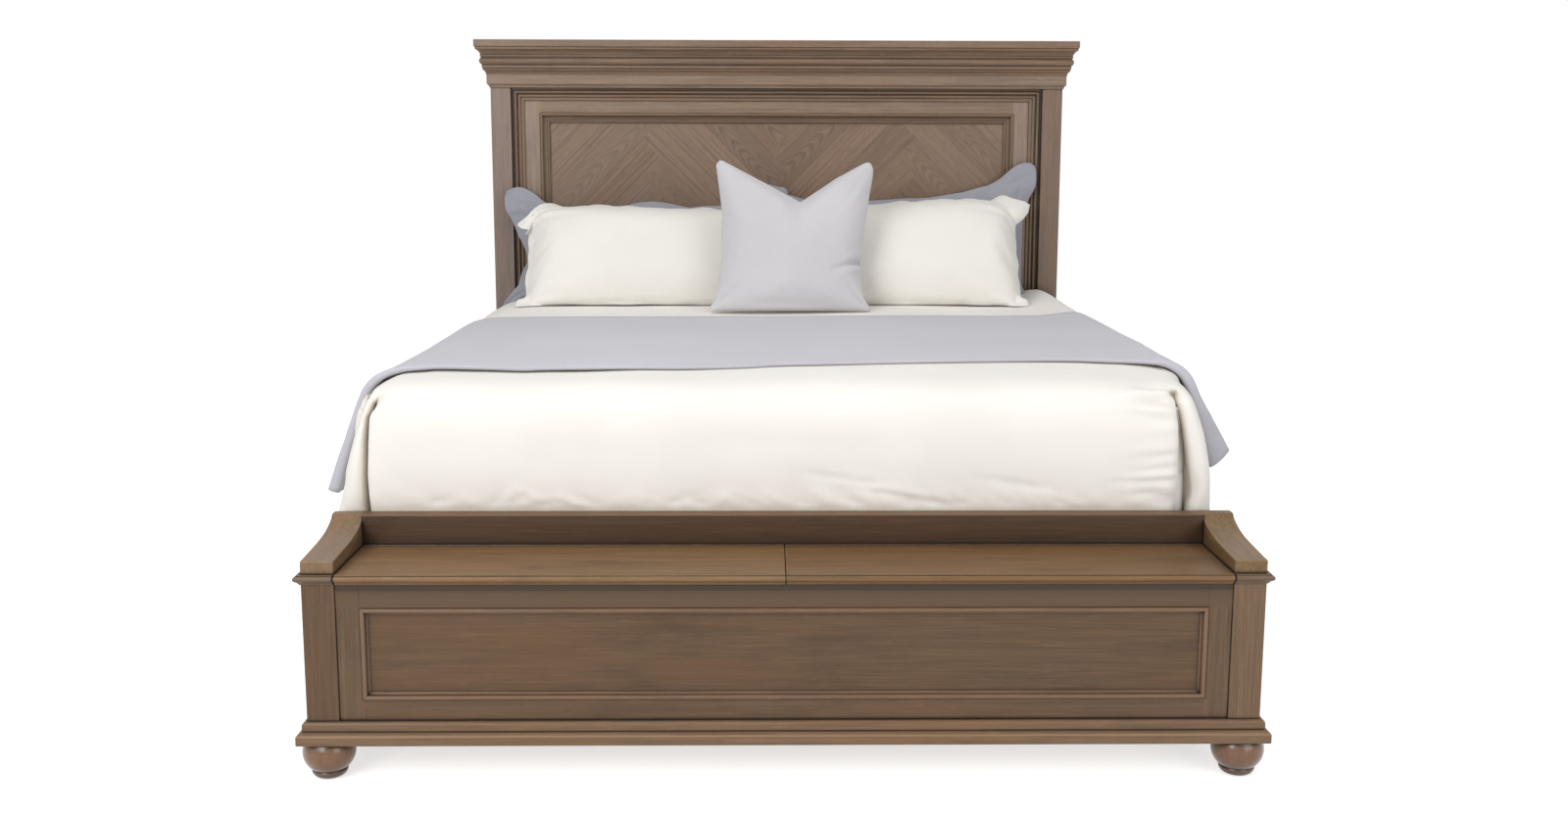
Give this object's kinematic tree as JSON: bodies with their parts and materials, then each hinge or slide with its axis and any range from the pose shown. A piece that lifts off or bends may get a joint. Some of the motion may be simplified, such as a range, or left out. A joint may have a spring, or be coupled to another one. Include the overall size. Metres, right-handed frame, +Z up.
{
  "type": "bed with blanket chest footboard",
  "caption": "King-size bed with a panelled headboard under a stepped crown and a lidded blanket chest on bun feet as its footboard, made up with layered bedding.",
  "frame": {"origin": "on the floor, at the middle of the bed's bounding box", "axes": "+Z up; +Y from the blanket chest towards the headboard; +X to the right as seen from the foot"},
  "size_m": [2.208, 2.4153, 1.764],
  "materials": {
    "stained_wood": "taupe-brown stain with darker glaze in the grooves, satin lacquer",
    "herringbone_veneer": "mitred planks in a stained herringbone, satin lacquer",
    "plain_wood": "planed, unstained",
    "hardware": "zinc plated",
    "nylon": "moulded",
    "cream_cotton": "plain cotton",
    "ribbed_throw": "ribbed knit",
    "sham_weave": "slubbed weave with a slight sheen",
    "cushion_velvet": "short pile",
    "mattress_ticking": "woven ticking"
  },
  "bodies": {
    "bed": {"accent_cushion": "cushion_velvet", "arm_left": "stained_wood", "arm_mouldings": "stained_wood", "arm_right": "stained_wood", "backboard": "stained_wood", "base_moulding": "stained_wood", "bed_slats": "plain_wood", "bun_feet": "stained_wood", "centre_beam": "plain_wood", "chest_back": "stained_wood", "chest_divider": "plain_wood", "chest_end_panels": "stained_wood", "chest_floor": "plain_wood", "chest_front_panel": "stained_wood", "chest_front_rails": "stained_wood", "chest_front_stiles": "stained_wood", "chest_panel_bead": "stained_wood", "chest_post_left": "stained_wood", "chest_post_right": "stained_wood", "chest_rear_posts": "stained_wood", "crown_board": "stained_wood", "crown_moulding": "stained_wood", "duvet": "cream_cotton", "floor_glides": "nylon", "foundation": "mattress_ticking", "frieze_board": "stained_wood", "headboard_back_panel": "stained_wood", "headboard_frame_moulding": "stained_wood", "headboard_panel_moulding": "stained_wood", "headboard_post_left": "stained_wood", "headboard_post_right": "stained_wood", "headboard_rails": "stained_wood", "headboard_stiles": "stained_wood", "headboard_veneer_panel": "herringbone_veneer", "hinge_leaves_fixed": "hardware", "hinge_pins": "hardware", "mattress": "mattress_ticking", "pillow_left": "cream_cotton", "pillow_right": "cream_cotton", "rail_hook_plates": "hardware", "rail_socket_plates": "hardware", "sham_left": "sham_weave", "sham_right": "sham_weave", "side_rail_left": "stained_wood", "side_rail_right": "stained_wood", "slat_cleats": "plain_wood", "stay_brackets": "hardware", "support_legs": "plain_wood", "throw_blanket": "ribbed_throw"},
    "lid_left": {"lid_left": "stained_wood", "hinge_leaf_lid_left": "hardware", "stay_lid_bracket_left": "hardware"},
    "stay_arm_left": {"stay_arm_left": "hardware"},
    "stay_link_left": {"stay_link_left": "hardware"},
    "lid_right": {"lid_right": "stained_wood", "hinge_leaf_lid_right": "hardware", "stay_lid_bracket_right": "hardware"},
    "stay_arm_right": {"stay_arm_right": "hardware"},
    "stay_link_right": {"stay_link_right": "hardware"}
  },
  "joints": [
    {"name": "lid_left_hinge", "type": "hinge", "parent": "bed", "child": "lid_left", "pos_m": [-0.49125, -0.94745, 0.474], "axis": [-1, 0, 0], "range_deg": [0, 85]},
    {"name": "stay_arm_left_pivot", "type": "hinge", "parent": "bed", "child": "stay_arm_left", "pos_m": [-0.95055, -0.95945, 0.384], "axis": [-1, 0, 0], "range_deg": [0, 85]},
    {"name": "stay_link_left_elbow", "type": "hinge", "parent": "stay_arm_left", "child": "stay_link_left", "pos_m": [-0.95335, -1.06945, 0.346], "axis": [-1, 0, 0], "range_deg": [-85, 0]},
    {"name": "lid_right_hinge", "type": "hinge", "parent": "bed", "child": "lid_right", "pos_m": [0.49125, -0.94745, 0.474], "axis": [-1, 0, 0], "range_deg": [0, 85]},
    {"name": "stay_arm_right_pivot", "type": "hinge", "parent": "bed", "child": "stay_arm_right", "pos_m": [0.95055, -0.95945, 0.384], "axis": [-1, 0, 0], "range_deg": [0, 85]},
    {"name": "stay_link_right_elbow", "type": "hinge", "parent": "stay_arm_right", "child": "stay_link_right", "pos_m": [0.95335, -1.06945, 0.346], "axis": [-1, 0, 0], "range_deg": [-85, 0]}
  ],
  "couplings": [
    {"joint": "stay_arm_left_pivot", "follows": "lid_left_hinge", "ratio": 1},
    {"joint": "stay_link_left_elbow", "follows": "lid_left_hinge", "ratio": -1},
    {"joint": "stay_arm_right_pivot", "follows": "lid_right_hinge", "ratio": 1},
    {"joint": "stay_link_right_elbow", "follows": "lid_right_hinge", "ratio": -1}
  ]
}
